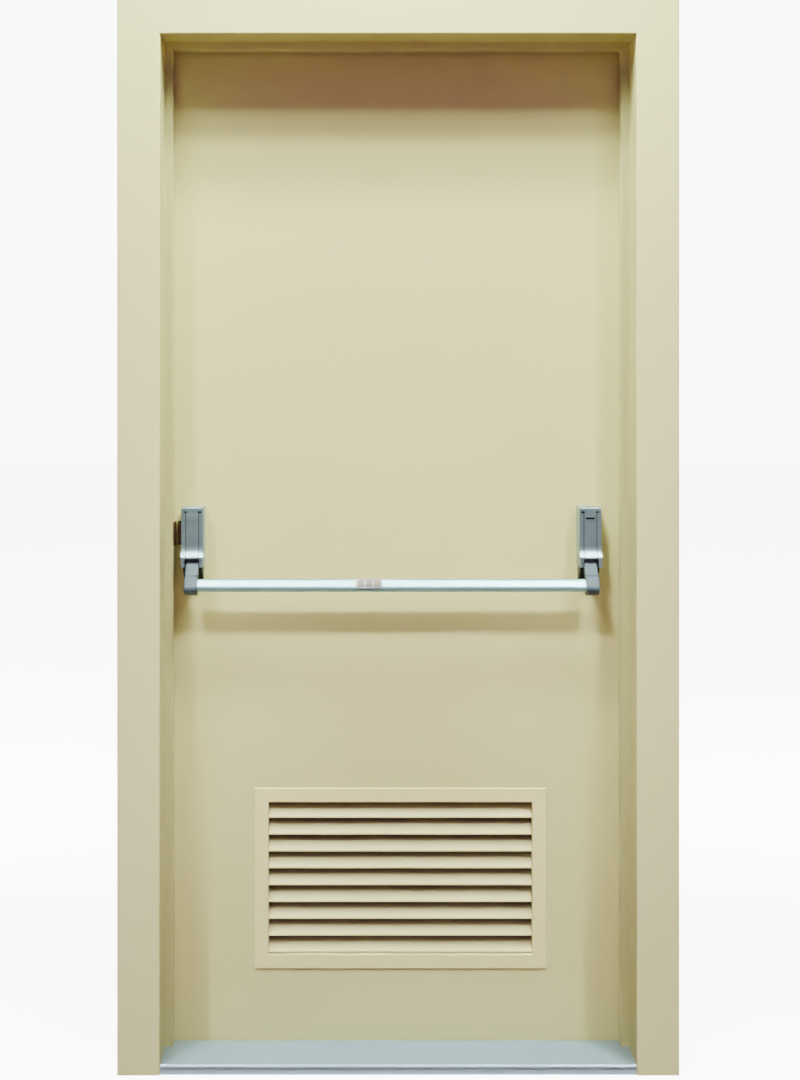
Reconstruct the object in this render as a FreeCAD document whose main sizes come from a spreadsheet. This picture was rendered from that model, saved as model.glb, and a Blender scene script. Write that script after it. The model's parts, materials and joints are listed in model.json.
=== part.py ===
"""Lavatory door set: flush steel leaf, double rebate frame, vent louvre and push bar exit device.

Millimetres, +Z up, +X to the right and +Y away from the push side. The origin is on the
underside of the threshold, at the middle of the frame's width and depth.
"""
import FreeCAD, Part
import os
import re

import Sketcher

Vector = FreeCAD.Vector

SIZES = {
    # Frame: clear opening between the stops, and the folded section round it
    "clear_width": 900,
    "clear_height": 2000,
    "stop_height": 16,
    "face_width": 84,
    "back_width": 60,
    "face_return": 15,
    "frame_gauge": 2,
    "bend_radius": 1,
    "reveal_depth": 70,
    "stop_width": 25,
    "seal_gap": 5,
    "seal_width": 8,
    "seal_rest": 0.3,
    # Threshold
    "sill_height": 20,
    "sill_flange": 4,
    "sill_gauge": 2,
    "sill_setback": 3,
    "sill_fit": 0.4,
    "nose_over": 3,
    "nose_tall": 6,
    "nose_radius": 2.5,
    # Leaf
    "leaf_thick": 45,
    "leaf_setback": 5,
    "leaf_gap": 5,
    "lock_gap": 6,
    "lock_bevel": 2,
    "leaf_lift": 10,
    "skin_gauge": 1.2,
    "channel_depth": 25,
    # Vent louvre in the lower part of the leaf
    "vent_width": 535,
    "vent_height": 308,
    "vent_bottom": 192,
    "vent_offset": 8,
    "vent_flange": 29,
    "vent_proud": 3,
    "vent_bevel": 1.2,
    "vent_rim": 2,
    "collar_gauge": 2,
    "cutout_gap": 1,
    "blade_gauge": 1.5,
    "blade_rise": 36,
    "blade_setback": 1,
    "blade_drop": 2,
    # Hinges
    "hinge_low": 250,
    "hinge_mid": 1025,
    "hinge_high": 1800,
    "hinge_height": 100,
    "hinge_plate": 2,
    "hinge_reach": 38,
    "knuckle_out": 8,
    "knuckle_radius": 7,
    "knuckle_gap": 0.5,
    "pin_radius": 3.5,
    "pin_fit": 0.05,
    "pin_tip": 3,
    # Exit device: the heights of its pieces are given from the pivot of its arms
    "pivot_height": 1010,
    "pivot_front": 18,
    "pivot_radius": 4,
    "case_width": 44,
    "case_inset_lock": 40,
    "case_inset_hinge": 63,
    "case_rise": 92,
    "case_front": 38,
    "case_flare": 47,
    "case_gauge": 2.5,
    "case_edge": 1.5,
    "flare_rise": 6,
    "flare_drop": 6,
    "flare_radius": 30,
    "lip_radius": 3,
    "leg_drop": 26,
    "notch_width": 30,
    "notch_radius": 5,
    "groove_reach": 13,
    "groove_wide": 1.2,
    "groove_deep": 1,
    "groove_drop": 11,
    "label_width": 23,
    "label_tall": 16,
    "label_drop": 13,
    "label_deep": 0.6,
    "screw_slot_wide": 7,
    "screw_slot_tall": 4,
    "screw_slot_drop": 7,
    "screw_slot_reach": 14.5,
    "key_slot_wide": 18,
    "key_slot_tall": 3.4,
    "key_slot_drop": 20,
    "chassis_drop": 57,
    "chassis_base": 3,
    "chassis_bend": 2,
    "cheek_gauge": 2,
    "cheek_front": 30,
    "cheek_toe": 10,
    "cheek_slope": 24,
    "cheek_rise": 12,
    "guide_reach": 13,
    "arm_length": 72,
    "arm_angle": 33.7,
    "arm_width": 26,
    "arm_cap": 2,
    "hub_radius": 9,
    "hub_flat": 0.3,
    "arm_thick": 14,
    "clamp_front": 13,
    "clamp_back": 13,
    "clamp_up": 18,
    "clamp_down": 17,
    "clamp_step": 4,
    "clamp_toe": 9,
    "clamp_heel": 6,
    "bar_tall": 24,
    "bar_deep": 18,
    "bar_gauge": 2,
    "bar_corner": 7,
    "bar_entry": 18,
    # Latch and strike
    "bolt_rise": 17,
    "bolt_tall": 40,
    "bolt_cut_height": 13,
    "bolt_cut_width": 6,
    "bolt_back": 5,
    "bolt_front": 19,
    "bolt_reach": 9,
    "bolt_tail": 14,
    "bolt_fit": 0.5,
    "strike_gauge": 2,
    "strike_lip": 3.7,
    "strike_over": 4,
    # Fixings
    "anchor_low": 300,
    "anchor_pitch": 760,
    "anchor_height": 40,
    "anchor_gauge": 3,
    "anchor_inset": 45,
    "fixing_radius": 5.5,
    "clip_inset": 28,
    "clip_length": 44,
    "clip_depth": 60,
    "clip_gauge": 4,
}

BLADES = 9
KNUCKLES = 3
# How far, in millimetres, a cut runs past the face that it opens
OVERCUT = 1
ANCHORS = 3

# Two places nearer than this are the same place
TOUCH = 0.001

doc = FreeCAD.newDocument("lavatory_door")
size = doc.addObject("Spreadsheet::Sheet", "size")
for row, (word, value) in enumerate(SIZES.items(), start=1):
    size.set(f"A{row}", word)
    size.set(f"B{row}", str(value))
    size.setAlias(f"B{row}", word)
doc.recompute()


def bound(text):
    """The expression with each size's word pointed at its cell in the sheet."""
    return re.sub(r"[a-z]\w*", lambda word: f"size.{word[0]}" if word[0] in SIZES else word[0], str(text))


# Planes across the depth, from the face that is pushed towards the back
DEPTH = "(reveal_depth + stop_width + seal_gap + leaf_thick + leaf_setback)"
FRONT = f"(-{DEPTH} / 2)"
STOP_FRONT = f"({FRONT} + reveal_depth)"
STOP_BACK = f"({STOP_FRONT} + stop_width)"
PUSH_FACE = f"({STOP_BACK} + seal_gap)"
PULL_FACE = f"({PUSH_FACE} + leaf_thick)"
BACK = f"({DEPTH} / 2)"

# Planes across the width and up the height
HALF_CLEAR = "(clear_width / 2)"
HALF_REVEAL = "(clear_width / 2 + stop_height)"
HALF_OUTER = "(clear_width / 2 + stop_height + face_width)"
HEAD_STOP = "(sill_height + clear_height)"
HEAD_REVEAL = f"({HEAD_STOP} + stop_height)"
TOP = f"({HEAD_REVEAL} + face_width)"

# The leaf's edges
LOCK_EDGE = f"(lock_gap - {HALF_REVEAL})"
HINGE_EDGE = f"({HALF_REVEAL} - leaf_gap)"
LEAF_TOP = f"({HEAD_REVEAL} - leaf_gap)"

# Levels of the exit device
CASE_TOP = "(pivot_height + case_rise)"
CASE_FOOT = "(pivot_height - leg_drop)"
CASE_LIP = "(pivot_height - flare_drop)"
CASE_BEND = "(pivot_height + flare_rise)"
CHASSIS_FOOT = "(pivot_height - chassis_drop)"
CHEEK_TOP = "(pivot_height + cheek_rise)"
BOLT_FOOT = "(pivot_height + bolt_rise)"
BOLT_TOP = f"({BOLT_FOOT} + bolt_tall)"

exported = []


def outline_sketch(body, plane, level, outlines):
    """A sketch on one of the body's origin planes, each corner held by sizes from the sheet."""
    sketch = body.newObject("Sketcher::SketchObject", f"{body.Name}_sketch")
    support = [item for item in body.Origin.OriginFeatures if item.Role == plane][0]
    sketch.AttachmentSupport = [(support, "")]
    sketch.MapMode = "FlatFace"
    sign = "-" if plane == "XZ_Plane" else ""
    sketch.setExpression(".AttachmentOffset.Base.z", bound(f"{sign}({level})"))
    for outline in outlines:
        first = sketch.GeometryCount
        count = len(outline)
        for index in range(count):
            start = Vector(index, index * index, 0)
            following = (index + 1) % count
            sketch.addGeometry(Part.LineSegment(start, Vector(following, following * following, 0)))
        for index in range(count):
            sketch.addConstraint(Sketcher.Constraint("Coincident", first + index, 2, first + (index + 1) % count, 1))
        for index, corner in enumerate(outline):
            for kind, place in zip(("DistanceX", "DistanceY"), corner):
                held = sketch.addConstraint(Sketcher.Constraint(kind, -1, 1, first + index, 1, 1.0))
                sketch.setExpression(f"Constraints[{held}]", bound(place))
    return sketch


def prism(label, plane, outlines, start, length):
    """A body padded from one sketch, growing in the positive direction of the plane's normal axis."""
    body = doc.addObject("PartDesign::Body", label)
    body.Label = label
    pad = body.newObject("PartDesign::Pad", f"{label}_pad")
    pad.Profile = outline_sketch(body, plane, start, outlines)
    pad.Reversed = plane == "XZ_Plane"
    pad.setExpression("Length", bound(length))
    doc.recompute()
    return body


def round_corners(body, corners, radius):
    """Rounds the edges that run out of these corners of the body's last sketch."""
    sketch = [item for item in body.Group if item.TypeId == "Sketcher::SketchObject"][-1]
    along = sketch.Placement.Rotation.multVec(Vector(0, 0, 1))
    places = [sketch.Placement.multVec(sketch.Geometry[corner].StartPoint) for corner in corners]
    names = []
    for number, edge in enumerate(body.Shape.Edges, start=1):
        ends = [vertex.Point for vertex in edge.Vertexes]
        straight = len(ends) == 2 and (ends[1] - ends[0]).cross(along).Length < TOUCH
        if straight and any((ends[0] - place).cross(along).Length < TOUCH for place in places):
            names.append(f"Edge{number}")
    require(len(names) >= len(corners), f"{body.Label}: an edge to round is missing")
    return round_edges(body, names, radius)


def edges_where(body, holds):
    """Names of the body's edges whose two ends both lie where a test holds."""
    numbered = enumerate(body.Shape.Edges, start=1)
    return [f"Edge{number}" for number, edge in numbered if all(holds(end.Point) for end in edge.Vertexes)]


def round_edges(body, names, radius):
    """Rounds these edges of the body."""
    fillet = body.newObject("PartDesign::Fillet", f"{body.Name}_round")
    fillet.Base = (fillet.BaseFeature, names)
    fillet.setExpression("Radius", bound(radius))
    doc.recompute()
    return body


def bevel_edges(body, names, leg):
    """Bevels these edges of the body, as far along both of their faces."""
    chamfer = body.newObject("PartDesign::Chamfer", f"{body.Name}_bevel")
    chamfer.Base = (chamfer.BaseFeature, names)
    chamfer.setExpression("Size", bound(leg))
    doc.recompute()
    return body


def add_pad(body, plane, outlines, start, length):
    """More material on the same body."""
    pad = body.newObject("PartDesign::Pad", f"{body.Name}_pad")
    pad.Profile = outline_sketch(body, plane, start, outlines)
    pad.Reversed = plane == "XZ_Plane"
    pad.setExpression("Length", bound(length))
    doc.recompute()
    return body


def cut_through(body, plane, outlines):
    """Cuts the outlines through the whole body, both ways from the plane."""
    pocket = body.newObject("PartDesign::Pocket", f"{body.Name}_cut")
    pocket.Profile = outline_sketch(body, plane, "0", outlines)
    pocket.Type = "ThroughAll"
    pocket.SideType = "Symmetric"
    before = body.Shape.Volume
    doc.recompute()
    require(body.Shape.Volume < before, f"{body.Label}: the cut removes nothing")
    return body


def cut_between(body, plane, outlines, start, length):
    """Cuts the outlines from one level of the plane's normal axis over a length."""
    pocket = body.newObject("PartDesign::Pocket", f"{body.Name}_cut")
    pocket.Profile = outline_sketch(body, plane, start, outlines)
    pocket.Reversed = plane != "XZ_Plane"
    pocket.setExpression("Length", bound(length))
    before = body.Shape.Volume
    doc.recompute()
    require(body.Shape.Volume < before, f"{body.Label}: the cut removes nothing")
    return body


def require(truth, message):
    """Stops the build with a plain message."""
    if not truth:
        raise RuntimeError(message)


def rectangle(low, high):
    """Four corners from the lowest and the highest one."""
    return [(low[0], low[1]), (high[0], low[1]), (high[0], high[1]), (low[0], high[1])]


def block(name, low, spans):
    """A box primitive from its lowest corner and its three lengths."""
    box = doc.addObject("Part::Box", name)
    for axis, place in zip("xyz", low):
        box.setExpression(f".Placement.Base.{axis}", bound(place))
    for side, span in zip(("Length", "Width", "Height"), spans):
        box.setExpression(side, bound(span))
    return box


def rod(name, start, radius, length, axis="z"):
    """A cylinder primitive along one axis."""
    cylinder = doc.addObject("Part::Cylinder", name)
    turn = {"x": FreeCAD.Rotation(Vector(0, 1, 0), 90), "y": FreeCAD.Rotation(Vector(1, 0, 0), -90)}
    cylinder.Placement.Rotation = turn.get(axis, FreeCAD.Rotation())
    for letter, place in zip("xyz", start):
        cylinder.setExpression(f".Placement.Base.{letter}", bound(place))
    cylinder.setExpression("Radius", bound(radius))
    cylinder.setExpression("Height", bound(length))
    return cylinder


def joined(label, shapes):
    """One piece fused from several primitives."""
    fuse = doc.addObject("Part::MultiFuse", label)
    fuse.Label = label
    fuse.Shapes = shapes
    return fuse


def less(label, base, tools):
    """One piece cut by several primitives."""
    tool = tools[0] if len(tools) == 1 else joined(f"{label}_tools", tools)
    cut = doc.addObject("Part::Cut", label)
    cut.Label = label
    cut.Base = base
    cut.Tool = tool
    return cut


def keep(piece):
    """Puts a finished piece on the list of those that are written out."""
    exported.append(piece)
    return piece


def folded_section(across, along_depth):
    """Corners of the folded frame sheet; across(u) places a distance u in from the outer edge."""
    gauge = "frame_gauge"
    stop = "(face_width + stop_height)"
    back_edge = "(face_width - back_width)"
    shown = [
        ("0", f"{FRONT} + face_return"),
        ("0", FRONT),
        ("face_width", FRONT),
        ("face_width", STOP_FRONT),
        (stop, STOP_FRONT),
        (stop, STOP_BACK),
        ("face_width", STOP_BACK),
        ("face_width", BACK),
        (back_edge, BACK),
        (back_edge, f"{BACK} - face_return"),
    ]
    hidden = [
        (f"{back_edge} + {gauge}", f"{BACK} - face_return"),
        (f"{back_edge} + {gauge}", f"{BACK} - {gauge}"),
        (f"face_width - {gauge}", f"{BACK} - {gauge}"),
        (f"face_width - {gauge}", f"{STOP_BACK} - {gauge}"),
        (f"{stop} - {gauge}", f"{STOP_BACK} - {gauge}"),
        (f"{stop} - {gauge}", f"{STOP_FRONT} + {gauge}"),
        (f"face_width - {gauge}", f"{STOP_FRONT} + {gauge}"),
        (f"face_width - {gauge}", f"{FRONT} + {gauge}"),
        (gauge, f"{FRONT} + {gauge}"),
        (gauge, f"{FRONT} + face_return"),
    ]
    return [along_depth(across(u), y) for u, y in shown + hidden]


def bent(member):
    """Gives the folded sheet its bends; corners 1 to 8 are seen from the doorway, 11 to 18 from the throat."""
    round_corners(member, (1, 2, 4, 5, 7, 8, 13, 16), "bend_radius + frame_gauge")
    return round_corners(member, (3, 6, 11, 12, 14, 15, 17, 18), "bend_radius")


def jamb(label, side):
    """One upright of the frame, mitred at its top."""
    section = folded_section(lambda u: f"{side} * ({HALF_OUTER} - ({u}))", lambda x, y: (x, y))
    upright = bent(prism(label, "XY_Plane", [section], "0", TOP))
    spare = "(2 * (face_width + stop_height))"
    mitre = [
        (f"{side} * ({HALF_OUTER} + {spare})", f"{TOP} + {spare}"),
        (f"{side} * ({HALF_OUTER} - {spare})", f"{TOP} - {spare}"),
        (f"{side} * ({HALF_OUTER} - {spare})", f"{TOP} + {spare}"),
    ]
    return keep(cut_through(upright, "XZ_Plane", [mitre]))


def head():
    """The frame's top member, mitred at both ends."""
    section = folded_section(lambda u: f"{TOP} - ({u})", lambda z, y: (y, z))
    member = bent(prism("frame_head", "YZ_Plane", [section], f"-{HALF_OUTER}", f"2 * {HALF_OUTER}"))
    spare = "(2 * (face_width + stop_height))"
    for side in (-1, 1):
        mitre = [
            (f"{side} * ({HALF_OUTER} + {spare})", f"{TOP} + {spare}"),
            (f"{side} * ({HALF_OUTER} - {spare})", f"{TOP} - {spare}"),
            (f"{side} * ({HALF_OUTER} + {spare})", f"{TOP} - {spare}"),
        ]
        cut_through(member, "XZ_Plane", [mitre])
    return keep(member)


def threshold():
    """Hollow sill between the jambs: rounded nosing, low flange under the leaf, notches round the stops."""
    strip = f"({FRONT} + nose_over)"
    sill_back = f"({STOP_BACK} - sill_setback)"
    outer = [
        (strip, "0"),
        (PULL_FACE, "0"),
        (PULL_FACE, "sill_flange"),
        (sill_back, "sill_flange"),
        (sill_back, "sill_height"),
        (FRONT, "sill_height"),
        (FRONT, "sill_height - nose_tall"),
        (strip, "sill_height - nose_tall"),
    ]
    inner = rectangle(
        (f"{strip} + sill_gauge", "sill_gauge"),
        (f"{sill_back} - sill_gauge", "sill_height - sill_gauge"),
    )
    end = f"({HALF_REVEAL} - sill_fit)"
    sill = prism("threshold", "YZ_Plane", [outer, inner], f"-{end}", f"2 * {end}")
    round_corners(sill, (5, 6), "nose_radius")
    for side in (-1, 1):
        notch = rectangle(
            (f"{side} * ({HALF_CLEAR} - sill_fit)", f"{STOP_FRONT} - sill_fit"),
            (f"{side} * ({HALF_REVEAL} + stop_height)", f"{STOP_BACK} + sill_fit"),
        )
        cut_through(sill, "XY_Plane", [notch])
    return keep(sill)


def seals():
    """Rubber strips on the back of the stops, a hair short of the closed leaf."""
    inset = "((stop_height - seal_gap - seal_width) / 2)"
    near = f"({HALF_CLEAR} + {inset})"
    under = f"({HEAD_STOP} + {inset})"
    for label, low_x in (("seal_lock", f"-{near} - seal_width"), ("seal_hinge", near)):
        spans = ("seal_width", "seal_gap - seal_rest", f"{under} - leaf_lift")
        keep(block(label, (low_x, STOP_BACK, "leaf_lift"), spans))
    low = (f"-{near} - seal_width", STOP_BACK, under)
    keep(block("seal_head", low, (f"2 * ({near} + seal_width)", "seal_gap - seal_rest", "seal_width")))


def skin(label, inner_face, outer_face):
    """One face sheet of the leaf with the vent cut out."""
    sheet = rectangle((LOCK_EDGE, "leaf_lift"), (HINGE_EDGE, LEAF_TOP))
    return keep(prism(label, "XZ_Plane", [sheet, vent_cutout()], inner_face, outer_face))


def vent_cutout():
    """Corners of the hole for the louvre's collars."""
    grow = "(collar_gauge + cutout_gap)"
    low = (f"vent_offset - vent_width / 2 - {grow}", f"vent_bottom - {grow}")
    high = (f"vent_offset + vent_width / 2 + {grow}", f"vent_bottom + vent_height + {grow}")
    return rectangle(low, high)


CORE_FRONT = f"({PUSH_FACE} + skin_gauge)"
CORE_BACK = f"({PULL_FACE} - skin_gauge)"


def leaf():
    """Skins, edge channels and the core slabs round the vent."""
    skin("leaf_push_skin", PUSH_FACE, "skin_gauge")
    skin("leaf_pull_skin", CORE_BACK, "skin_gauge")
    gauge = "skin_gauge"
    lock = [
        (f"{LOCK_EDGE} + lock_bevel", CORE_FRONT),
        (f"{LOCK_EDGE} + channel_depth", CORE_FRONT),
        (f"{LOCK_EDGE} + channel_depth", f"{CORE_FRONT} + {gauge}"),
        (f"{LOCK_EDGE} + lock_bevel + {gauge}", f"{CORE_FRONT} + {gauge}"),
        (f"{LOCK_EDGE} + {gauge}", f"{CORE_BACK} - {gauge}"),
        (f"{LOCK_EDGE} + channel_depth", f"{CORE_BACK} - {gauge}"),
        (f"{LOCK_EDGE} + channel_depth", CORE_BACK),
        (LOCK_EDGE, CORE_BACK),
    ]
    keep(prism("leaf_lock_edge", "XY_Plane", [lock], "leaf_lift", f"{LEAF_TOP} - leaf_lift"))
    hinge = [
        (HINGE_EDGE, CORE_FRONT),
        (HINGE_EDGE, CORE_BACK),
        (f"{HINGE_EDGE} - channel_depth", CORE_BACK),
        (f"{HINGE_EDGE} - channel_depth", f"{CORE_BACK} - {gauge}"),
        (f"{HINGE_EDGE} - {gauge}", f"{CORE_BACK} - {gauge}"),
        (f"{HINGE_EDGE} - {gauge}", f"{CORE_FRONT} + {gauge}"),
        (f"{HINGE_EDGE} - channel_depth", f"{CORE_FRONT} + {gauge}"),
        (f"{HINGE_EDGE} - channel_depth", CORE_FRONT),
    ]
    keep(prism("leaf_hinge_edge", "XY_Plane", [hinge], "leaf_lift", f"{LEAF_TOP} - leaf_lift"))
    start = f"{LOCK_EDGE} + channel_depth"
    length = f"{HINGE_EDGE} - {LOCK_EDGE} - 2 * channel_depth"
    for label, edge, inward in (("leaf_bottom_channel", "leaf_lift", "1"), ("leaf_top_channel", LEAF_TOP, "-1")):
        channel = [
            (CORE_FRONT, edge),
            (CORE_BACK, edge),
            (CORE_BACK, f"{edge} + {inward} * channel_depth"),
            (f"{CORE_BACK} - {gauge}", f"{edge} + {inward} * channel_depth"),
            (f"{CORE_BACK} - {gauge}", f"{edge} + {inward} * {gauge}"),
            (f"{CORE_FRONT} + {gauge}", f"{edge} + {inward} * {gauge}"),
            (f"{CORE_FRONT} + {gauge}", f"{edge} + {inward} * channel_depth"),
            (CORE_FRONT, f"{edge} + {inward} * channel_depth"),
        ]
        keep(prism(label, "YZ_Plane", [channel], start, length))
    core()


def core():
    """Four filling slabs round the vent."""
    hole = vent_cutout()
    left, bottom = hole[0]
    right, top = hole[2]
    deep = f"{CORE_BACK} - {CORE_FRONT}"
    core_left = f"({LOCK_EDGE} + channel_depth)"
    core_right = f"({HINGE_EDGE} - channel_depth)"
    core_low = "(leaf_lift + channel_depth)"
    core_high = f"({LEAF_TOP} - channel_depth)"
    slabs = {
        "core_above_vent": ((core_left, top), (core_right, core_high)),
        "core_below_vent": ((core_left, core_low), (core_right, bottom)),
        "core_lock_side": ((core_left, bottom), (left, top)),
        "core_hinge_side": ((right, bottom), (core_right, top)),
    }
    for label, (low, high) in slabs.items():
        spans = (f"{high[0]} - ({low[0]})", deep, f"{high[1]} - ({low[1]})")
        keep(block(label, (low[0], CORE_FRONT, low[1]), spans))


VENT_LEFT = "(vent_offset - vent_width / 2)"
VENT_RIGHT = "(vent_offset + vent_width / 2)"
VENT_TOP = "(vent_bottom + vent_height)"


def vent_ring(grow):
    """Corners of a rectangle round the vent's opening."""
    low = (f"{VENT_LEFT} - {grow}", f"vent_bottom - {grow}")
    high = (f"{VENT_RIGHT} + {grow}", f"{VENT_TOP} + {grow}")
    return rectangle(low, high)


def surround(label, flange_start, collar_start, face):
    """One flanged surround: bevelled outside, rounded round the opening, with a collar into the leaf."""
    inside = vent_ring("0")
    ring = prism(label, "XZ_Plane", [vent_ring("vent_flange"), inside], flange_start, "vent_proud")
    add_pad(ring, "XZ_Plane", [vent_ring("collar_gauge"), inside], collar_start, "leaf_thick / 2")
    box = ring.Shape.BoundBox
    level = box.YMin if face == "push" else box.YMax

    def on_rim(point, outer):
        """True on the shown face, at one of the outer corners or at one of the inner ones."""
        at_outside = min(point.x - box.XMin, box.XMax - point.x) < TOUCH
        return abs(point.y - level) < TOUCH and at_outside == outer

    round_edges(ring, edges_where(ring, lambda point: on_rim(point, False)), "vent_rim")
    return keep(bevel_edges(ring, edges_where(ring, lambda point: on_rim(point, True)), "vent_bevel"))


def louvre():
    """Flanged surround on each face and the folded blades between them."""
    surround("louvre_push_surround", f"{PUSH_FACE} - vent_proud", PUSH_FACE, "push")
    surround("louvre_pull_surround", PULL_FACE, f"{PULL_FACE} - leaf_thick / 2", "pull")
    pitch = f"(vent_height / {BLADES})"
    front = f"({PUSH_FACE} + blade_setback)"
    back = f"({PULL_FACE} - blade_setback)"
    middle = f"(({PUSH_FACE} + {PULL_FACE}) / 2)"
    blades = []
    for index in range(BLADES):
        foot = f"(vent_bottom + blade_drop + {index} * {pitch})"
        chevron = [
            (front, foot),
            (middle, f"{foot} + blade_rise"),
            (back, foot),
            (back, f"{foot} + 2 * blade_gauge"),
            (middle, f"{foot} + blade_rise + 2 * blade_gauge"),
            (front, f"{foot} + 2 * blade_gauge"),
        ]
        blade = prism(f"blade_{index + 1}", "YZ_Plane", [chevron], VENT_LEFT, "vent_width")
        if index == BLADES - 1:
            above = rectangle((PUSH_FACE, VENT_TOP), (PULL_FACE, f"{VENT_TOP} + blade_rise + 2 * blade_gauge"))
            cut_between(blade, "YZ_Plane", [above], VENT_LEFT, "vent_width")
        blades.append(blade)
    row = doc.addObject("Part::Compound", "louvre_blades")
    row.Links = blades
    keep(row)


AXIS_X = f"({HALF_REVEAL} - leaf_gap / 2)"
AXIS_Y = f"({BACK} + knuckle_out)"


def hinge(name, height):
    """A butt hinge: frame plate with the pin and the outer knuckles, and leaf plate with those between."""
    pitch = f"(hinge_height / {KNUCKLES})"
    foot = f"({height} - hinge_height / 2)"
    plate_start = f"({PULL_FACE} - hinge_reach)"
    plate_end = f"({AXIS_Y} - knuckle_radius - 2 * knuckle_gap)"
    plate_span = f"{plate_end} - {plate_start}"
    sides = {
        "frame": (f"{HALF_REVEAL} - hinge_plate", range(0, KNUCKLES, 2)),
        "leaf": (HINGE_EDGE, range(1, KNUCKLES, 2)),
    }
    for side, (plate_x, places) in sides.items():
        label = f"{name}_{side}_plate"
        spans = ("hinge_plate", plate_span, "hinge_height")
        pieces = [block(f"{label}_flat", (plate_x, plate_start, foot), spans)]
        for place in places:
            low = f"{foot} + {place} * {pitch} + knuckle_gap / 2"
            tall = f"{pitch} - knuckle_gap"
            tongue = ("hinge_plate", f"{AXIS_Y} - {plate_end} + knuckle_gap", tall)
            pieces.append(block(f"{label}_tongue_{place}", (plate_x, f"{plate_end} - knuckle_gap", low), tongue))
            pieces.append(rod(f"{label}_knuckle_{place}", (AXIS_X, AXIS_Y, low), "knuckle_radius", tall))
        if side == "frame":
            pin = (AXIS_X, AXIS_Y, f"{foot} - pin_tip")
            pieces.append(rod(f"{label}_pin", pin, "pin_radius", "hinge_height + 2 * pin_tip"))
            keep(joined(label, pieces))
        else:
            whole = joined(f"{label}_whole", pieces)
            bore = rod(f"{label}_bore", (AXIS_X, AXIS_Y, foot), "pin_radius + pin_fit", "hinge_height")
            keep(less(label, whole, [bore]))


CASE_LOCK = f"(case_inset_lock - {HALF_CLEAR})"
CASE_HINGE = f"({HALF_CLEAR} - case_inset_hinge)"


def out(distance):
    """The depth plane at a distance proud of the leaf's push face."""
    return f"({PUSH_FACE} - ({distance}))"


def cover(label, centre, has_latch):
    """Die-cast housing: its front flares out over the arm in an arc and has two grooves and a label recess."""
    left = f"({centre} - case_width / 2)"

    def window(middle, wide, drop, tall):
        """A rectangle in the front, hung from the top of the housing."""
        low = (f"{middle} - {wide} / 2", f"{CASE_TOP} - {drop} - {tall}")
        high = (f"{middle} + {wide} / 2", f"{CASE_TOP} - {drop}")
        return rectangle(low, high)

    side = [
        (out("0"), CASE_TOP),
        (out("0"), CASE_FOOT),
        (out("case_flare"), CASE_FOOT),
        (out("case_flare"), CASE_LIP),
        (out("case_front"), CASE_BEND),
        (out("case_front"), CASE_TOP),
    ]
    body = prism(label, "YZ_Plane", [side], left, "case_width")
    round_corners(body, (4,), "flare_radius")
    round_corners(body, (3,), "lip_radius")
    round_corners(body, (5,), "case_edge")
    notch_top = f"{CASE_LIP} - lip_radius"
    groove = [
        (out(f"case_flare + {OVERCUT}"), f"{CASE_TOP} - groove_drop"),
        (out("case_front - groove_deep"), f"{CASE_TOP} - groove_drop"),
        (out("case_front - groove_deep"), CASE_BEND),
        (out("case_flare - groove_deep"), CASE_LIP),
        (out("case_flare - groove_deep"), notch_top),
        (out(f"case_flare + {OVERCUT}"), notch_top),
    ]
    for way in (-1, 1):
        cut_between(body, "YZ_Plane", [groove], f"{centre} + {way} * groove_reach - groove_wide / 2", "groove_wide")
        round_corners(body, (2,), "flare_radius")
    hollow = [
        (out(-OVERCUT), f"{CASE_TOP} - case_gauge"),
        (out(-OVERCUT), f"{CASE_FOOT} - case_gauge"),
        (out("case_flare - case_gauge"), f"{CASE_FOOT} - case_gauge"),
        (out("case_flare - case_gauge"), CASE_LIP),
        (out("case_front - case_gauge"), CASE_BEND),
        (out("case_front - case_gauge"), f"{CASE_TOP} - case_gauge"),
    ]
    cut_between(body, "YZ_Plane", [hollow], f"{left} + case_gauge", "case_width - 2 * case_gauge")
    round_corners(body, (4,), "flare_radius + case_gauge")
    notch = rectangle(
        (f"{centre} - notch_width / 2", f"{CASE_FOOT} - case_gauge"),
        (f"{centre} + notch_width / 2", notch_top),
    )
    cut_between(body, "XZ_Plane", [notch], out(f"case_flare + {OVERCUT}"), "case_flare / 2")
    round_corners(body, (2, 3), "notch_radius")
    label_recess = window(centre, "label_width", "label_drop", "label_tall")
    cut_between(body, "XZ_Plane", [label_recess], out("case_front"), "label_deep")
    slots = []
    for way in (-1, 1):
        middle = f"{centre} + {way} * screw_slot_reach"
        slots.append(window(middle, "screw_slot_wide", "screw_slot_drop", "screw_slot_tall"))
    if not has_latch:
        slots.append(window(centre, "key_slot_wide", "key_slot_drop", "key_slot_tall"))
    cut_between(body, "XZ_Plane", slots, out("case_front"), "case_gauge + label_deep")
    if has_latch:
        mouth = rectangle(
            (out("bolt_front + bolt_fit"), f"{BOLT_FOOT} - strike_over - bolt_fit"),
            (out(-OVERCUT), f"{BOLT_TOP} + strike_over + bolt_fit"),
        )
        cut_between(body, "YZ_Plane", [mouth], f"{left} - {OVERCUT}", f"case_gauge + {2 * OVERCUT}")
    return keep(body)


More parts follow.
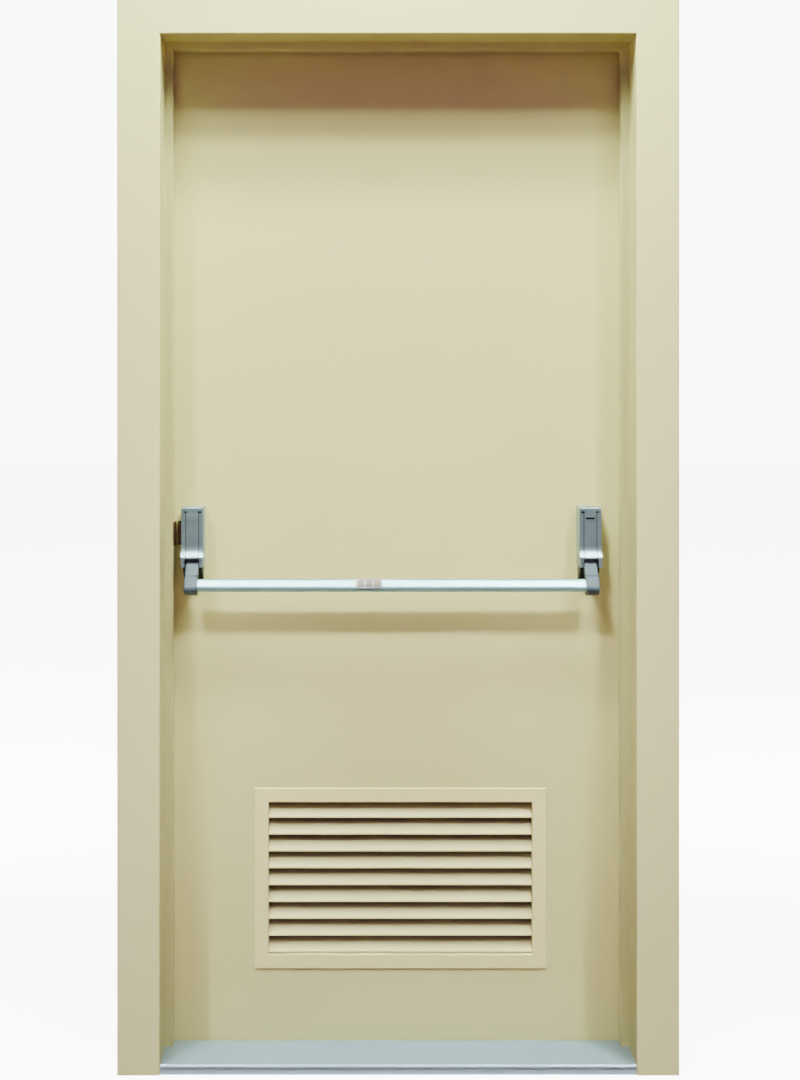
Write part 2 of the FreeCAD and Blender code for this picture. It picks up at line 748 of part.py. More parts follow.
def chassis(label, centre, has_guide):
    """Back plate folded up into two cheeks, the pivot pin between them, and the guide under the latch bolt."""
    half = "(case_width / 2 - case_gauge)"
    left = f"({centre} - {half})"
    right = f"({centre} + {half})"
    tray = [
        (left, PUSH_FACE),
        (right, PUSH_FACE),
        (right, out("cheek_front")),
        (f"{right} - cheek_gauge", out("cheek_front")),
        (f"{right} - cheek_gauge", out("chassis_base")),
        (f"{left} + cheek_gauge", out("chassis_base")),
        (f"{left} + cheek_gauge", out("cheek_front")),
        (left, out("cheek_front")),
    ]
    top = f"({CASE_TOP} - case_gauge)"
    body = prism(f"{label}_tray", "XY_Plane", [tray], CHASSIS_FOOT, f"{top} - {CHASSIS_FOOT}")
    round_corners(body, (0, 1), "chassis_bend")
    ahead = out(f"cheek_front + {OVERCUT}")
    above_cheeks = rectangle((ahead, CHEEK_TOP), (out("chassis_base"), f"{top} + {OVERCUT}"))
    below_cheeks = [
        (ahead, f"{CHASSIS_FOOT} - {OVERCUT}"),
        (out("cheek_toe"), f"{CHASSIS_FOOT} - {OVERCUT}"),
        (out("cheek_toe"), CHASSIS_FOOT),
        (ahead, f"{CHASSIS_FOOT} + cheek_slope"),
    ]
    cut_through(body, "YZ_Plane", [above_cheeks, below_cheeks])
    pin = rod(f"{label}_pin", (left, out("pivot_front"), "pivot_height"), "pivot_radius", f"2 * {half}", axis="x")
    pieces = [body, pin]
    if has_guide:
        low = (f"{left} - guide_reach", out("chassis_base"), f"{BOLT_FOOT} - strike_over")
        spans = ("guide_reach + chassis_bend", "chassis_base", "bolt_tall + 2 * strike_over")
        pieces.append(block(f"{label}_guide", low, spans))
    return keep(joined(label, pieces))


def hang(piece, centre):
    """Turns a piece drawn round its pivot out to the angle at which the bar rests."""
    piece.Placement.Rotation = FreeCAD.Rotation(Vector(1, 0, 0), 0)
    piece.setExpression(".Placement.Base.x", bound(centre))
    piece.setExpression(".Placement.Base.y", bound(out("pivot_front")))
    piece.setExpression(".Placement.Base.z", "size.pivot_height")
    piece.setExpression(".Placement.Rotation.Axis.x", "1")
    piece.setExpression(".Placement.Rotation.Axis.y", "0")
    piece.setExpression(".Placement.Rotation.Axis.z", "0")
    piece.setExpression(".Placement.Rotation.Angle", "-size.arm_angle")
    return piece


def bar_section(grow):
    """Corners of the bar's section, drawn round the pivot with the arm hanging straight down."""
    return rectangle(
        (f"-bar_deep / 2 - {grow}", f"-arm_length - bar_tall / 2 - {grow}"),
        (f"bar_deep / 2 + {grow}", f"-arm_length + bar_tall / 2 + {grow}"),
    )


def arm(label, centre, inner_side):
    """Lever arm: hub on the pivot pin, shank, and the clamp with its end cap that holds the bar's end."""
    clamp_top = "(clamp_up - arm_length)"
    profile = [
        ("-hub_radius", "hub_radius"),
        ("-hub_radius", clamp_top),
        ("-clamp_front", f"{clamp_top} - clamp_step"),
        ("-clamp_front", "-arm_length - clamp_down"),
        ("clamp_back", "-arm_length - clamp_down"),
        ("clamp_back", f"{clamp_top} - clamp_step"),
        ("arm_thick - hub_radius", clamp_top),
        ("hub_radius", "-hub_radius"),
        ("hub_radius", "hub_radius"),
    ]
    body = prism(f"{label}_blank", "YZ_Plane", [profile], "-arm_width / 2", "arm_width")
    round_corners(body, (0, 8), "hub_radius - hub_flat")
    round_corners(body, (3,), "clamp_toe")
    round_corners(body, (4,), "clamp_heel")
    box = body.Shape.BoundBox
    cap_side = box.XMin if inner_side > 0 else box.XMax
    bevel_edges(body, edges_where(body, lambda point: abs(point.x - cap_side) < TOUCH), "arm_cap")
    start = f"-arm_width / 2 - {OVERCUT}" if inner_side < 0 else "arm_width / 2 - bar_entry"
    cut_between(body, "YZ_Plane", [bar_section("0")], start, f"bar_entry + {OVERCUT}")
    round_corners(body, range(len(bar_section("0"))), "bar_corner")
    hang(body, centre)
    bore = rod(f"{label}_bore", (f"{centre} - arm_width", out("pivot_front"), "pivot_height"),
               "pivot_radius + pin_fit", "2 * arm_width", axis="x")
    return keep(less(label, body, [bore]))


def push_bar():
    """Hollow bar between the two arms."""
    ends = "(arm_width / 2 - bar_entry)"
    start = f"{CASE_LOCK} + {ends}"
    span = f"{CASE_HINGE} - {CASE_LOCK} - 2 * {ends}"
    outer = bar_section("0")
    bar = prism("push_bar", "YZ_Plane", [outer, bar_section("(-bar_gauge)")], start, span)
    corners = len(outer)
    round_corners(bar, range(corners), "bar_corner")
    round_corners(bar, range(corners, 2 * corners), "bar_corner - bar_gauge")
    return keep(hang(bar, "0"))


def latch():
    """Spring bolt that slides in the lock side housing."""
    nose = f"({CASE_LOCK} - case_width / 2 - bolt_reach)"
    tail = f"({CASE_LOCK} - case_width / 2 + bolt_tail)"
    shape = [
        (nose, BOLT_TOP),
        (nose, f"{BOLT_FOOT} + bolt_cut_height"),
        (f"{nose} + bolt_cut_width", BOLT_FOOT),
        (tail, BOLT_FOOT),
        (tail, BOLT_TOP),
    ]
    return keep(prism("latch_bolt", "XZ_Plane", [shape], out("bolt_front"), "bolt_front - bolt_back"))


def strike():
    """Strike plate on the lock side stop, with a short lip towards the leaf."""
    soffit = f"-{HALF_CLEAR}"
    strike_front = f"{STOP_FRONT} + frame_gauge + bend_radius"
    profile = [
        (soffit, strike_front),
        (f"{soffit} + strike_gauge", strike_front),
        (f"{soffit} + strike_gauge", f"{STOP_BACK} - strike_gauge"),
        (f"{soffit} + strike_lip", f"{STOP_BACK} - strike_gauge"),
        (f"{soffit} + strike_lip", STOP_BACK),
        (soffit, STOP_BACK),
    ]
    start = f"{BOLT_FOOT} - strike_over"
    return keep(prism("strike", "XY_Plane", [profile], start, "bolt_tall + 2 * strike_over"))


def fixings():
    """Wall anchors in the throat of each jamb, behind the hinges on their side, and a floor clip at each foot."""
    lock_heights = [f"(anchor_low + {index} * anchor_pitch)" for index in range(ANCHORS)]
    hinge_heights = ["hinge_low", "hinge_mid", "hinge_high"]
    for label, side, heights in (("wall_anchors_lock", -1, lock_heights), ("wall_anchors_hinge", 1, hinge_heights)):
        start = f"({side} * ({HALF_OUTER} - anchor_inset) - anchor_gauge / 2)"
        plates = []
        for number, height in enumerate(heights, start=1):
            low = (start, f"{FRONT} + frame_gauge", f"{height} - anchor_height / 2")
            spans = ("anchor_gauge", f"{DEPTH} - 2 * frame_gauge", "anchor_height")
            plate = block(f"{label}_{number}_plate", low, spans)
            bore = rod(f"{label}_{number}_bore", (f"{start} - {OVERCUT}", "0", height), "fixing_radius",
                       f"anchor_gauge + {2 * OVERCUT}", axis="x")
            plates.append(less(f"{label}_{number}", plate, [bore]))
        row = doc.addObject("Part::Compound", label)
        row.Links = plates
        keep(row)
    inner = f"({HALF_REVEAL} + frame_gauge)"
    for label, side, low_x in (("floor_clip_lock", -1, f"-{inner} - clip_length"), ("floor_clip_hinge", 1, inner)):
        low = (low_x, "-clip_depth / 2", "0")
        plate = block(f"{label}_plate", low, ("clip_length", "clip_depth", "clip_gauge"))
        hole_x = f"{side} * ({inner} + clip_inset)"
        bore = rod(f"{label}_bore", (hole_x, "0", f"-{OVERCUT}"), "fixing_radius", f"clip_gauge + {2 * OVERCUT}")
        keep(less(label, plate, [bore]))


def write_parts():
    """Checks every object of the document, then writes one file for each piece."""
    doc.recompute()
    for item in doc.Objects:
        faults = [word for word in item.State if word in ("Invalid", "Error")]
        require(not faults, f"{item.Label}: {faults}")
    os.makedirs("parts", exist_ok=True)
    for piece in exported:
        shape = piece.Shape
        require(not shape.isNull() and shape.isValid(), f"{piece.Label}: bad shape")
        shape.exportStep(f"parts/{piece.Label}.step")
        box = shape.BoundBox
        print(f"{piece.Label}: {len(shape.Solids)} solid, {shape.Volume / 1000:.1f} cm3,"
              f" x {box.XMin:.1f} {box.XMax:.1f} y {box.YMin:.1f} {box.YMax:.1f}"
              f" z {box.ZMin:.1f} {box.ZMax:.1f}")
    print(len(exported), "pieces")


jamb("frame_jamb_lock", -1)
jamb("frame_jamb_hinge", 1)
head()
threshold()
seals()
fixings()
strike()
leaf()
louvre()
for place in ("low", "mid", "high"):
    hinge(f"hinge_{place}", f"hinge_{place}")
chassis("chassis_lock", CASE_LOCK, True)
chassis("chassis_hinge", CASE_HINGE, False)
cover("cover_lock", CASE_LOCK, True)
cover("cover_hinge", CASE_HINGE, False)
latch()
arm("arm_lock", CASE_LOCK, 1)
arm("arm_hinge", CASE_HINGE, -1)
push_bar()
write_parts()
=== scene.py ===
# %% [markdown]
# A steel lavatory door in its frame, dressed for a studio picture. The construction comes packed
# from CAD: folded frame, leaf, louvre, hinges and push bar. This lesson gives every surface its
# finish, adds the small pieces that a fabricator fits by hand, and lights the set.

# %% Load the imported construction
import json
import math

import bmesh
import bpy
from mathutils import Matrix, Vector


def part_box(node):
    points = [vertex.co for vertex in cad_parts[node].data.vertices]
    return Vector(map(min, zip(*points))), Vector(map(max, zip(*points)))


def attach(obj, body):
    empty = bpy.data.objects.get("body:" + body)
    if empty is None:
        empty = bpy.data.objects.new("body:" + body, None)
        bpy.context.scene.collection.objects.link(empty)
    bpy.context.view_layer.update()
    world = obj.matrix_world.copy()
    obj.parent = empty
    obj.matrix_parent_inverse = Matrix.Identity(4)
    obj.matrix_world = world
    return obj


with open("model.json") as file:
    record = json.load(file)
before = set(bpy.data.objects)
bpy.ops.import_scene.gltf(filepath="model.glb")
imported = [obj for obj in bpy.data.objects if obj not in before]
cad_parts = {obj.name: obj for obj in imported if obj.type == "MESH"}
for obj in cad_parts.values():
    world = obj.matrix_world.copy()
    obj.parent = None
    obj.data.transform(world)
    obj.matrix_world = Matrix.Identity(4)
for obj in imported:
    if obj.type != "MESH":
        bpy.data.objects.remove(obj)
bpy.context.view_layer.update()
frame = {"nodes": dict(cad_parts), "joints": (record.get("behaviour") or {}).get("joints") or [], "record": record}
nodes = frame["nodes"]
scene = bpy.context.scene
MM = 0.001

# %% [markdown]
# The view is the one a visitor has from the push side, a little left of the middle. The camera
# stays level, so the uprights stay parallel, and the lens is shifted down instead, as with a
# view camera. The door's own sizes set the scale: one pixel of the picture is a fixed number of
# millimetres in the plane of the frame's face.

# %% Camera
PICTURE = (800, 1080)
METRES_PER_PIXEL = 1.954e-3
DISTANCE = 2.55
EYE_PIXEL = (350, 346)
FRAME_MIDDLE_PIXEL = 398.25
SILL_PIXEL = 1065.5
SENSOR = 36

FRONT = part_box("frame_jamb_lock")[0].y
SILL_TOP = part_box("threshold")[1].z
lens = bpy.data.cameras.new("camera")
camera = bpy.data.objects.new("camera", lens)
scene.collection.objects.link(camera)
camera.location = (
    (EYE_PIXEL[0] - FRAME_MIDDLE_PIXEL) * METRES_PER_PIXEL,
    FRONT - DISTANCE,
    SILL_TOP + (SILL_PIXEL - EYE_PIXEL[1]) * METRES_PER_PIXEL,
)
camera.rotation_euler = (math.radians(90), 0, 0)
lens.sensor_fit = "VERTICAL"
lens.sensor_height = SENSOR
lens.lens = SENSOR * DISTANCE / (PICTURE[1] * METRES_PER_PIXEL)
lens.shift_x = (PICTURE[0] / 2 - EYE_PIXEL[0]) / PICTURE[1]
lens.shift_y = (EYE_PIXEL[1] - PICTURE[1] / 2) / PICTURE[1]
scene.camera = camera
print("camera at", camera.location, "shift", lens.shift_x, lens.shift_y)

# %% [markdown]
# The light comes from high above the visitor, from both sides. Rows of lamps with narrow beams
# hang in an arc round the head, so the head of the frame shades the top of the leaf with a soft
# edge and the light fades towards the floor. Two low lamps on each side throw the band of shade
# below the bar, and one small lamp on each side shades the ends of the sill. A wide soft lamp
# behind lights the pull side for whoever walks round the set.

# %% Lamps
# Each kind of lamp has its width and height in metres and its beam's spread in degrees
HIGH_LAMP = ((1.2, 0.7), 16)
LOW_LAMP = ((1.2, 0.5), 8.5)
SIDE_LAMP = ((0.3, 0.3), 12)
BACK_LAMP = ((2.5, 2.5), 180)
INNER_WHITE = (1.0, 1.0, 0.75)
OUTER_WHITE = (0.93, 1.03, 0.77)
WARM_WHITE = (1.0, 1.0, 0.94)
COOL_WHITE = (0.84, 1.0, 1.04)
BACK_WHITE = (0.94, 1.0, 1.0)

# The arc has a radius and the height of its middle, and each row an angle, a power and an aim
ARC_REACH = 6.5
ARC_MIDDLE = 2.0
ARC_ROWS = ((56, 8, 3.0), (64, 22.5, 3.0), (73, 44, 3.15))
ARC_COLUMNS = ((-3.1, OUTER_WHITE), (-1.6, INNER_WHITE), (1.6, INNER_WHITE), (3.1, OUTER_WHITE))
LAMP_SHARE = 0.36

# A place says how far beside the middle, how far before the frame's face and how high
LOW_PLACE = (1.95, 3.3, 5.9)
LOW_BEAMS = ((1.15, 2.3), (0.5, 1.05))
SIDE_PLACE = (2.5, 2.4, 7.0)
SIDE_AIM = -1.3
SIDE_POWER = 6.5
BACK_PLACE = (-1.5, -4.5, 4.5)
BACK_AIM = 1.0
BACK_POWER = 420


def hang_lamp(name, place, aim, power, colour, size, beam):
    """Hangs a soft lamp at a place and aims it at a height on the middle of the frame's face."""
    lamp = bpy.data.lights.new(name, "AREA")
    lamp.shape = "RECTANGLE"
    lamp.size, lamp.size_y = size
    lamp.energy = power
    lamp.color = colour
    lamp.spread = math.radians(beam)
    holder = bpy.data.objects.new(name, lamp)
    scene.collection.objects.link(holder)
    holder.location = (place[0], FRONT - place[1], place[2])
    towards = Vector((0, FRONT, aim)) - holder.location
    holder.rotation_euler = towards.to_track_quat("-Z", "Y").to_euler()
    print(name, "at", holder.location)


def on_side(place, side):
    """The place as it is for side 1, or mirrored to the left for side -1."""
    return side * place[0], place[1], place[2]


for angle, power, aim in ARC_ROWS:
    rise = math.radians(angle)
    before = ARC_REACH * math.cos(rise)
    high = ARC_MIDDLE + ARC_REACH * math.sin(rise)
    for number, (beside, white) in enumerate(ARC_COLUMNS, start=1):
        name = f"high_lamp_{angle}_{number}"
        hang_lamp(name, (beside, before, high), aim, LAMP_SHARE * power, white, *HIGH_LAMP)
for side in (-1, 1):
    for aim, power in LOW_BEAMS:
        name = f"low_lamp_{side + 1}_{100 * aim:.0f}"
        hang_lamp(name, on_side(LOW_PLACE, side), aim, power, WARM_WHITE, *LOW_LAMP)
    name = f"side_lamp_{side + 1}"
    hang_lamp(name, on_side(SIDE_PLACE, side), SIDE_AIM, SIDE_POWER, COOL_WHITE, *SIDE_LAMP)
hang_lamp("back_lamp", BACK_PLACE, BACK_AIM, BACK_POWER, BACK_WHITE, *BACK_LAMP)

# %% [markdown]
# The room gives the fill light. It is warm near the floor and cooler overhead, which tints the
# shaded corners of a cream coat the way a bright corridor does. Shiny pieces mirror a darker and
# greyer room, so that metal keeps its own colour. The camera itself sees plain near-white behind
# the door.

# %% Room
ROOM_FILL = 0.56
ROOM_SEEN = 10.0
LOW_FILL = (0.95, 0.45, 0.62, 1)
HIGH_FILL = (0.66, 0.54, 0.78, 1)
FILL_TURNS = (0.1, 0.9)
MIRRORED_FILL = (0.34, 0.38, 0.42, 1)
SEEN_COLOUR = (1.0, 1.0, 1.0, 1)

world = bpy.data.worlds.new("room")
scene.world = world
world.use_nodes = True
room = world.node_tree
fill = room.nodes["Background"]
fill.inputs["Strength"].default_value = ROOM_FILL
direction = room.nodes.new("ShaderNodeTexCoord")
parts = room.nodes.new("ShaderNodeSeparateXYZ")
height = room.nodes.new("ShaderNodeMapRange")
height.inputs["From Min"].default_value = FILL_TURNS[0]
height.inputs["From Max"].default_value = FILL_TURNS[1]
warmth = room.nodes.new("ShaderNodeValToRGB")
warmth.color_ramp.elements[0].color = LOW_FILL
warmth.color_ramp.elements[1].color = HIGH_FILL
seen = room.nodes.new("ShaderNodeBackground")
seen.inputs["Color"].default_value = SEEN_COLOUR
seen.inputs["Strength"].default_value = ROOM_SEEN
path = room.nodes.new("ShaderNodeLightPath")
mirrored = room.nodes.new("ShaderNodeMixRGB")
mirrored.inputs["Color2"].default_value = MIRRORED_FILL
choice = room.nodes.new("ShaderNodeMixShader")
room.links.new(direction.outputs["Generated"], parts.inputs["Vector"])
room.links.new(parts.outputs["Z"], height.inputs["Value"])
room.links.new(height.outputs["Result"], warmth.inputs["Fac"])
room.links.new(path.outputs["Is Glossy Ray"], mirrored.inputs["Fac"])
room.links.new(warmth.outputs["Color"], mirrored.inputs["Color1"])
room.links.new(mirrored.outputs["Color"], fill.inputs["Color"])
room.links.new(path.outputs["Is Camera Ray"], choice.inputs["Fac"])
room.links.new(fill.outputs["Background"], choice.inputs[1])
room.links.new(seen.outputs["Background"], choice.inputs[2])
room.links.new(choice.outputs["Shader"], room.nodes["World Output"].inputs["Surface"])
print("room lit")

# %% [markdown]
# The floor is a large pale sheet. It glows towards the camera, so that its far edge melts into
# the room. The light that it throws back onto the door is that of a warm, darker floor.

# %% Floor
FLOOR_HALF = 14
FLOOR_SEEN = (0.86, 0.86, 0.85, 1)
FLOOR_BOUNCE = (0.32, 0.21, 0.19, 1)
FLOOR_GLOW = 8.5

shape = bmesh.new()
bmesh.ops.create_grid(shape, x_segments=1, y_segments=1, size=FLOOR_HALF)
mesh = bpy.data.meshes.new("floor")
shape.to_mesh(mesh)
shape.free()
floor = bpy.data.objects.new("floor", mesh)
scene.collection.objects.link(floor)
floor_paint = bpy.data.materials.new("floor_paint")
floor_paint.use_nodes = True
paint = floor_paint.node_tree
matt = paint.nodes["Principled BSDF"]
matt.inputs["Roughness"].default_value = 1.0
matt.inputs["Specular IOR Level"].default_value = 0.0
glow = paint.nodes.new("ShaderNodeEmission")
path = paint.nodes.new("ShaderNodeLightPath")
tone = paint.nodes.new("ShaderNodeValToRGB")
tone.color_ramp.elements[0].color = FLOOR_BOUNCE
tone.color_ramp.elements[1].color = FLOOR_SEEN
level = paint.nodes.new("ShaderNodeMath")
level.operation = "MULTIPLY"
level.inputs[1].default_value = FLOOR_GLOW
total = paint.nodes.new("ShaderNodeAddShader")
paint.links.new(path.outputs["Is Camera Ray"], tone.inputs["Fac"])
paint.links.new(tone.outputs["Color"], matt.inputs["Base Color"])
paint.links.new(path.outputs["Is Camera Ray"], level.inputs[0])
paint.links.new(level.outputs["Value"], glow.inputs["Strength"])
paint.links.new(matt.outputs["BSDF"], total.inputs[0])
paint.links.new(glow.outputs["Emission"], total.inputs[1])
paint.links.new(total.outputs["Shader"], paint.nodes["Material Output"].inputs["Surface"])
floor.data.materials.append(floor_paint)
print("floor", 2 * FLOOR_HALF, "metres square")

# %% [markdown]
# A finish is a small node tree: where am I on the piece, what is the pattern there, and what do
# colour, gloss and relief make of it. The helpers below each add one such step. All patterns
# are measured in metres on the door itself, so they keep their scale on every piece.

# %% Helpers for finishes
NOISE_LOW = 0.3
NOISE_HIGH = 0.7
SOCKETS = {"colour": "Base Color", "roughness": "Roughness", "normal": "Normal"}
finishes = {}


def start_finish(slot, metallic, roughness):
    """A new finish for one of the record's slots: its node tree and its shader."""
    finish = bpy.data.materials.new(slot)
    finish.use_nodes = True
    shader = finish.node_tree.nodes["Principled BSDF"]
    shader.inputs["Metallic"].default_value = metallic
    shader.inputs["Roughness"].default_value = roughness
    finishes[slot] = finish
    return finish.node_tree, shader


def feed(tree, shader, **outputs):
    """Feeds a colour, a roughness or a normal into the shader."""
    for name, output in outputs.items():
        tree.links.new(output, shader.inputs[SOCKETS[name]])


def own_place(tree, stretch=(1, 1, 1)):
    """The place on the piece, drawn out along an axis for rolled or brushed metal."""
    coordinates = tree.nodes.new("ShaderNodeTexCoord")
    mapping = tree.nodes.new("ShaderNodeMapping")
    mapping.inputs["Scale"].default_value = stretch
    tree.links.new(coordinates.outputs["Object"], mapping.inputs["Vector"])
    return mapping.outputs["Vector"]


def own_axes(tree):
    """The place on the piece as three outputs, X, Y and Z."""
    coordinates = tree.nodes.new("ShaderNodeTexCoord")
    axes = tree.nodes.new("ShaderNodeSeparateXYZ")
    tree.links.new(coordinates.outputs["Object"], axes.inputs["Vector"])
    return axes.outputs


def spread(tree, value, low, high, start=NOISE_LOW, end=NOISE_HIGH):
    """The value's range from start to end, spread over low to high."""
    ranged = tree.nodes.new("ShaderNodeMapRange")
    ranged.inputs["From Min"].default_value = start
    ranged.inputs["From Max"].default_value = end
    ranged.inputs["To Min"].default_value = low
    ranged.inputs["To Max"].default_value = high
    tree.links.new(value, ranged.inputs["Value"])
    return ranged.outputs["Result"]


def cloud(tree, place, size, detail=2.0):
    """Soft noise whose patches are about this many metres across."""
    noise = tree.nodes.new("ShaderNodeTexNoise")
    noise.inputs["Scale"].default_value = 1 / size
    noise.inputs["Detail"].default_value = detail
    tree.links.new(place, noise.inputs["Vector"])
    return noise.outputs["Fac"]


def full_cloud(tree, place, size, detail):
    """Soft noise that is spread over the whole range from 0 to 1."""
    return spread(tree, cloud(tree, place, size, detail), 0.0, 1.0)


def tint(tree, value, tones):
    """A colour that goes from the first tone to the second with a value from 0 to 1."""
    ramp = tree.nodes.new("ShaderNodeValToRGB")
    for stop, colour in zip(ramp.color_ramp.elements, tones):
        stop.color = (*colour, 1)
    tree.links.new(value, ramp.inputs["Fac"])
    return ramp.outputs["Color"]


def relief(tree, value, depth, onto=None):
    """A surface raised by the value, this many metres at most."""
    bump = tree.nodes.new("ShaderNodeBump")
    bump.inputs["Distance"].default_value = depth
    tree.links.new(value, bump.inputs["Height"])
    if onto is not None:
        tree.links.new(onto, bump.inputs["Normal"])
    return bump.outputs["Normal"]


def worked(tree, operation, first, second=0.0):
    """One step of arithmetic on a value."""
    step = tree.nodes.new("ShaderNodeMath")
    step.operation = operation
    for socket, value in zip(step.inputs, (first, second)):
        if isinstance(value, (int, float)):
            socket.default_value = value
        else:
            tree.links.new(value, socket)
    return step.outputs["Value"]


def apart(tree, first, second):
    """How far two values are apart."""
    return worked(tree, "ABSOLUTE", worked(tree, "SUBTRACT", first, second))


def shaded(tree, colour, share):
    """A colour times a share."""
    scale = tree.nodes.new("ShaderNodeVectorMath")
    scale.operation = "SCALE"
    tree.links.new(colour, scale.inputs[0])
    tree.links.new(share, scale.inputs["Scale"])
    return scale.outputs["Vector"]


print("helpers ready")

# %% [markdown]
# Where two folded lengths meet at a corner, the fabricator mitres them at 45 degrees, welds the
# joint from behind and dresses it. A hairline is left under the coat. On the frame it runs from
# the outer corner to the stop, and on the louvre's flanges from corner to opening. The line is
# where the distances from the two outer edges are equal, so the middle and half size of a
# rectangle describe it.

# %% Mitre hairlines
SEAM_WIDTH = 0.9 * MM
FLANGE = 29 * MM


def mitre_line(tree, middle, half, all_corners):
    """1 on the mitres of a rectangle in the X and Z directions, fading to 0 beside them."""
    axes = own_axes(tree)
    across = worked(tree, "SUBTRACT", apart(tree, axes["X"], middle[0]), half[0])
    up = worked(tree, "SUBTRACT", axes["Z"], middle[1])
    if all_corners:
        up = worked(tree, "ABSOLUTE", up)
    up = worked(tree, "SUBTRACT", up, half[1])
    line = spread(tree, apart(tree, across, up), 1.0, 0.0, 0.0, SEAM_WIDTH)
    if all_corners:
        line = worked(tree, "MULTIPLY", line, worked(tree, "GREATER_THAN", across, -FLANGE))
    return line


def middle_and_half(low, high):
    """Middle and half size of a box, in the X and Z directions."""
    middle = ((low.x + high.x) / 2, (low.z + high.z) / 2)
    return middle, ((high.x - low.x) / 2, (high.z - low.z) / 2)


print("hairline", SEAM_WIDTH, "metres wide")

# %% [markdown]
# The frame, leaf and louvre are steel sheet under a baked cream powder coat. Powder flows as it
# bakes and leaves a fine orange peel, an even satin gloss, and a slight drift of tone where the
# gun passed. Painted shade darkens the frame's upright rebates and the depth between the louvre's
# blades: those two coats are darkened by a share of their colour. One function makes all three
# coats.

# %% Cream powder coats
FRAME_TONE = (0.79, 0.78, 0.34)
LEAF_TONE = (0.745, 0.73, 0.295)
LOUVRE_TONE = (0.96, 0.91, 0.37)
DRIFT = 0.965
DRIFT_SIZE = 0.35
PEEL_SIZE = 1.6 * MM
PEEL_DEPTH = 0.035 * MM
COAT_ROUGHNESS = 0.42
ROUGHNESS_DRIFT = 0.04
SEAM_SHADE = 0.72
SEAM_DEPTH = -0.25 * MM
LEAF_MIDDLE = (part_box("leaf_push_skin")[0].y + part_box("leaf_pull_skin")[1].y) / 2
# Painted shade: the louvre's coat is darkened inside the leaf's thickness, between the blades
LOUVRE_SHADE = 0.14
LOUVRE_INNER = 8 * MM
LOUVRE_OUTER = 21 * MM
# Painted shade: the frame's coat is darkened in the upright rebates, fading out below the head
REBATE_SHADE = 0.62
REBATE_START = 6 * MM
REBATE_FADE = 120 * MM


def louvre_shade(tree):
    """Painted shade: 1 on the faces of the leaf, falling inside its thickness between the blades."""
    off_middle = apart(tree, own_axes(tree)["Y"], LEAF_MIDDLE)
    return spread(tree, off_middle, LOUVRE_SHADE, 1.0, LOUVRE_INNER, LOUVRE_OUTER)


def rebate_shade(tree):
    """Painted shade: 1 on the frame's faces and head, less in the upright rebates."""
    low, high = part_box("frame_head")
    half = (high.y - low.y) / 2
    axes = own_axes(tree)
    off_middle = apart(tree, axes["Y"], (low.y + high.y) / 2)
    deep = spread(tree, off_middle, REBATE_SHADE, 1.0, half - REBATE_START, half)
    under_head = spread(tree, axes["Z"], 0.0, 1.0, low.z - REBATE_FADE, low.z)
    return worked(tree, "MAXIMUM", deep, under_head)


def powder_coat(slot, tone, seam=None, painted_shade=None):
    """Satin powder coat, with a hairline at the mitres and painted shade where the piece has it."""
    tree, shader = start_finish(slot, 0.0, COAT_ROUGHNESS)
    place = own_place(tree)
    drift = full_cloud(tree, place, DRIFT_SIZE, detail=4.0)
    colour = tint(tree, drift, ([DRIFT * channel for channel in tone], tone))
    normal = relief(tree, cloud(tree, place, PEEL_SIZE), PEEL_DEPTH)
    if seam:
        line = mitre_line(tree, *seam)
        colour = shaded(tree, colour, spread(tree, line, 1.0, SEAM_SHADE, 0.0, 1.0))
        normal = relief(tree, line, SEAM_DEPTH, normal)
    if painted_shade:
        colour = shaded(tree, colour, painted_shade(tree))
    glossiest = COAT_ROUGHNESS - ROUGHNESS_DRIFT
    dullest = COAT_ROUGHNESS + ROUGHNESS_DRIFT
    gloss = spread(tree, cloud(tree, place, DRIFT_SIZE / 3, detail=3.0), glossiest, dullest)
    feed(tree, shader, colour=colour, roughness=gloss, normal=normal)


frame_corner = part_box("frame_jamb_hinge")[1]
frame_mitres = ((0, frame_corner.z), (frame_corner.x, 0))
louvre_mitres = middle_and_half(*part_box("louvre_push_surround"))
powder_coat("frame_coat", FRAME_TONE, (*frame_mitres, False), rebate_shade)
powder_coat("leaf_coat", LEAF_TONE)
powder_coat("louvre_coat", LOUVRE_TONE, (*louvre_mitres, True), louvre_shade)
print("three coats:", sorted(finishes))

# %% [markdown]
# The sill is stainless sheet, brushed along its length, with the fine scratches and dull patches
# that shoes leave. Its nosing, the strip along its front edge, gets a painted highlight. Brushing
# is noise drawn out a hundredfold along one axis: it varies the gloss and raises tiny ridges.

# %% Brushed sill
BRUSH_STRETCH = 0.01
BRUSH_RIDGE = 0.01 * MM
WORN_SIZE = 60 * MM
SILL_TONES = ((0.24, 0.36, 0.41), (0.27, 0.40, 0.45))
# Painted highlight: the sill's colour is doubled along its nosing, where the edge catches the light
NOSING_DEEP = 4 * MM
NOSING_FADE = 2 * MM
NOSING_HIGHLIGHT = 2.0
ALONG_X = 0
ALONG_Z = 2


